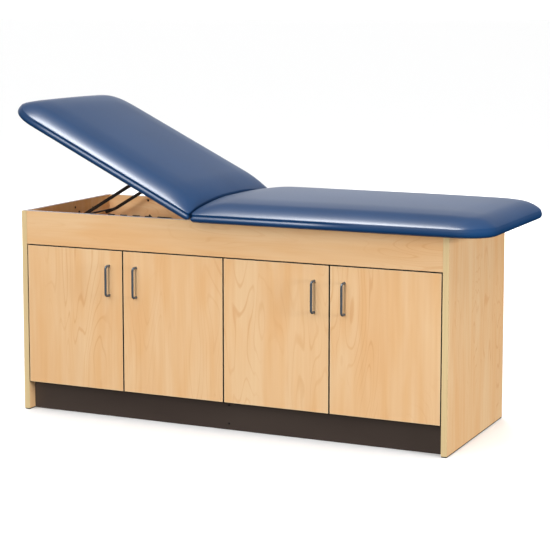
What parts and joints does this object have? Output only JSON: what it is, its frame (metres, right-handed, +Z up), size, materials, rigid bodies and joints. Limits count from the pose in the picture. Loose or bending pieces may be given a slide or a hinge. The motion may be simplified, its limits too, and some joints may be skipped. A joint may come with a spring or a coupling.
{
  "type": "medical exam table",
  "caption": "Cabinet exam table with doors under a two-piece padded vinyl top, whose head section lifts on a prop.",
  "frame": {"origin": "on the floor under the middle of the cabinet", "axes": "+X along the table towards the foot end, +Y from the doors to the back, +Z up"},
  "size_m": [1.7169, 0.667, 1.0825],
  "materials": {
    "laminate": "satin",
    "plywood": "matte",
    "edge_band": "satin",
    "toe_kick": "satin",
    "black_plastic": "matte",
    "vinyl_cushion": "satin",
    "black_steel": "satin",
    "gunmetal": "satin",
    "zinc_steel": "satin"
  },
  "bodies": {
    "cabinet": {"back_panel": "laminate", "bottom_deck": "laminate", "centre_partition": "laminate", "centre_sleeper": "laminate", "edge_band_foot": "edge_band", "edge_band_head": "edge_band", "end_panel_foot": "laminate", "end_panel_head": "laminate", "floor_strip_foot": "black_plastic", "floor_strip_head": "black_plastic", "front_rail": "laminate", "hinge_arm_1_high": "zinc_steel", "hinge_arm_1_low": "zinc_steel", "hinge_arm_2_high": "zinc_steel", "hinge_arm_2_low": "zinc_steel", "hinge_arm_3_high": "zinc_steel", "hinge_arm_3_low": "zinc_steel", "hinge_arm_4_high": "zinc_steel", "hinge_arm_4_low": "zinc_steel", "hinge_leaf_seat_front": "zinc_steel", "hinge_leaf_seat_rear": "zinc_steel", "hinge_pin_front": "zinc_steel", "hinge_pin_rear": "zinc_steel", "prop_rack_front": "black_steel", "prop_rack_rear": "black_steel", "rear_plinth_rail": "laminate", "seat_board": "plywood", "seat_cross_rail": "laminate", "seat_cushion": "vinyl_cushion", "shelf_foot": "laminate", "shelf_head": "laminate", "toe_kick": "toe_kick", "tray_floor": "laminate"},
    "backrest": {"backrest_board": "plywood", "backrest_cushion": "vinyl_cushion", "hinge_leaf_backrest_front": "zinc_steel", "hinge_leaf_backrest_rear": "zinc_steel", "prop_bolt_front": "zinc_steel", "prop_bolt_rear": "zinc_steel", "prop_bracket_front": "black_steel", "prop_bracket_rear": "black_steel"},
    "prop": {"prop_bar_front": "black_steel", "prop_bar_rear": "black_steel", "prop_cross_rod": "black_steel"},
    "door_1": {"door_1": "laminate", "hinge_cup_1_high": "zinc_steel", "hinge_cup_1_low": "zinc_steel", "pull_1": "gunmetal"},
    "door_2": {"door_2": "laminate", "hinge_cup_2_high": "zinc_steel", "hinge_cup_2_low": "zinc_steel", "pull_2": "gunmetal"},
    "door_3": {"door_3": "laminate", "hinge_cup_3_high": "zinc_steel", "hinge_cup_3_low": "zinc_steel", "pull_3": "gunmetal"},
    "door_4": {"door_4": "laminate", "hinge_cup_4_high": "zinc_steel", "hinge_cup_4_low": "zinc_steel", "pull_4": "gunmetal"}
  },
  "joints": [
    {"name": "backrest_tilt", "type": "hinge", "parent": "cabinet", "child": "backrest", "pos_m": [-0.089, 0, 0.7243], "axis": [0, 1, 0], "range_deg": [-26.2, 27]},
    {"name": "prop_swing", "type": "hinge", "parent": "backrest", "child": "prop", "pos_m": [-0.37767, 0, 0.82845], "axis": [0, 1, 0], "range_deg": [-54.5, 52.9]},
    {"name": "door_1_swing", "type": "hinge", "parent": "cabinet", "child": "door_1", "pos_m": [-0.757, -0.2895, 0.34175], "axis": [0, 0, -1], "range_deg": [0, 110]},
    {"name": "door_2_swing", "type": "hinge", "parent": "cabinet", "child": "door_2", "pos_m": [-0.0015, -0.2895, 0.34175], "axis": [0, 0, 1], "range_deg": [0, 82]},
    {"name": "door_3_swing", "type": "hinge", "parent": "cabinet", "child": "door_3", "pos_m": [0.0015, -0.2895, 0.34175], "axis": [0, 0, -1], "range_deg": [0, 82]},
    {"name": "door_4_swing", "type": "hinge", "parent": "cabinet", "child": "door_4", "pos_m": [0.757, -0.2895, 0.34175], "axis": [0, 0, 1], "range_deg": [0, 110]}
  ],
  "couplings": [
    {"joint": "prop_swing", "follows": "backrest_tilt", "ratio": -2}
  ]
}
